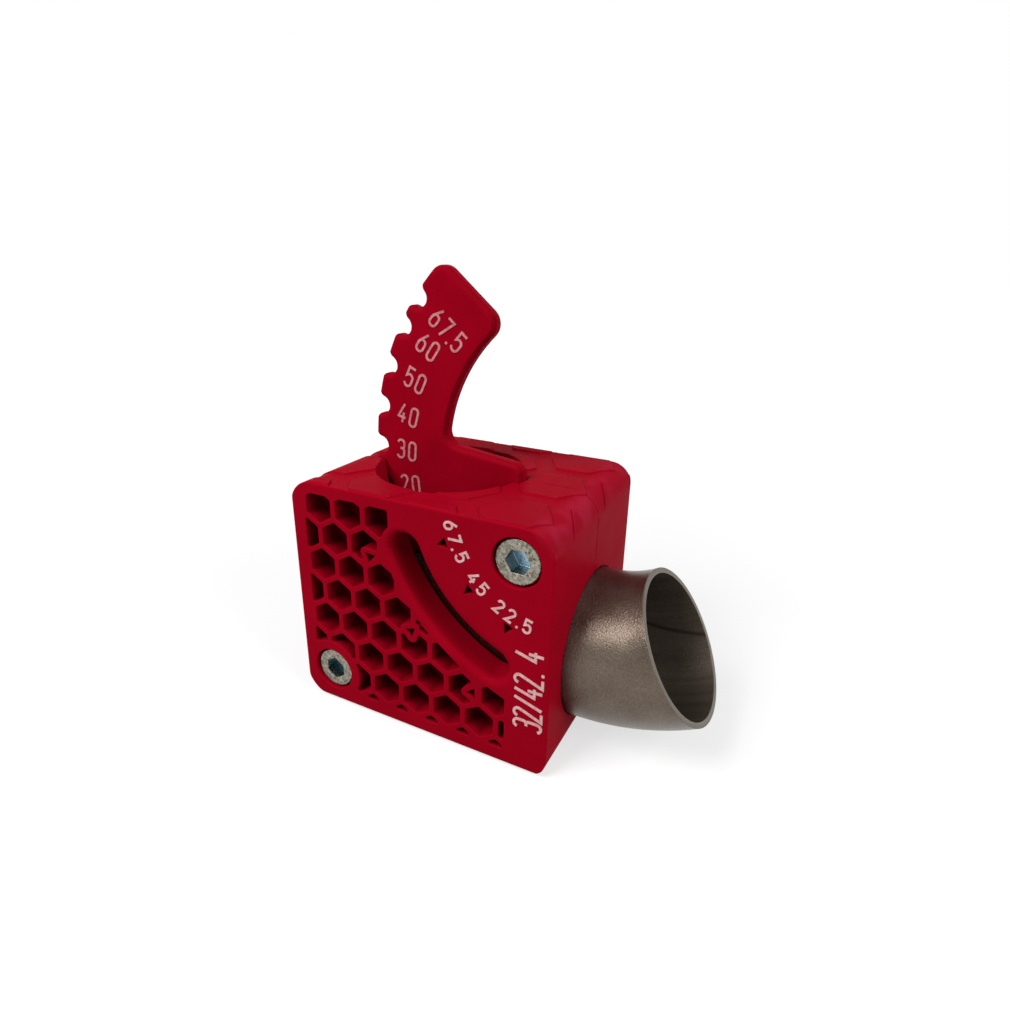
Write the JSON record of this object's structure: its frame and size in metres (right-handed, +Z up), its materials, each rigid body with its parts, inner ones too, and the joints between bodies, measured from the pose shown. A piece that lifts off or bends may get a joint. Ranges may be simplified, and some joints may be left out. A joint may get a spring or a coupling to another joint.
{
  "type": "tube cutting jig",
  "caption": "Split plastic block that clamps a tube elbow in a curved channel, with an angle lever that sets how far the elbow stands out of the saw face.",
  "frame": {"origin": "centre of the block's base, on the parting plane of the two shells", "axes": "+X towards the saw face that the elbow comes out of, +Y from the numbered front face to the rear face, +Z up"},
  "size_m": [0.116, 0.0602, 0.1258],
  "materials": {
    "red_plastic": "printed, satin",
    "lever_plastic": "printed, satin",
    "white_plastic": "printed, matte",
    "zinc_steel": "zinc plated",
    "stainless_tube": "pickled, dull"
  },
  "bodies": {
    "rear": {"rear_shell": "red_plastic", "upper_clamp_nut": "zinc_steel", "lower_clamp_nut": "zinc_steel"},
    "front": {"front_shell": "red_plastic", "window_numbers": "white_plastic", "size_number": "white_plastic"},
    "lever": {"angle_lever": "lever_plastic", "lever_numbers": "white_plastic"},
    "elbow": {"elbow": "stainless_tube"},
    "upper_screw": {"upper_clamp_screw": "zinc_steel"},
    "lower_screw": {"lower_clamp_screw": "zinc_steel"}
  },
  "joints": [
    {"name": "lever_swing", "type": "hinge", "parent": "rear", "child": "lever", "pos_m": [0.042, 0, 0.0735], "axis": [0, -1, 0], "range_deg": [-19.3, 38.2]},
    {"name": "elbow_feed", "type": "hinge", "parent": "lever", "child": "elbow", "pos_m": [0.042, 0, 0.0735], "axis": [0, -1, 0], "range_deg": [0, 60]},
    {"name": "clamp_open", "type": "slide", "parent": "rear", "child": "front", "axis": [0, -1, 0], "range_m": [0, 0.00125]},
    {"name": "upper_screw_turn", "type": "hinge", "parent": "front", "child": "upper_screw", "pos_m": [0.03035, 0, 0.0603], "axis": [0, -1, 0], "range_deg": [0, 360]},
    {"name": "lower_screw_turn", "type": "hinge", "parent": "front", "child": "lower_screw", "pos_m": [-0.0294, 0, 0.0105], "axis": [0, -1, 0], "range_deg": [0, 360]}
  ],
  "couplings": [
    {"joint": "upper_screw_turn", "follows": "clamp_open", "rad_per_m": 5026.5},
    {"joint": "lower_screw_turn", "follows": "clamp_open", "rad_per_m": 5026.5}
  ]
}
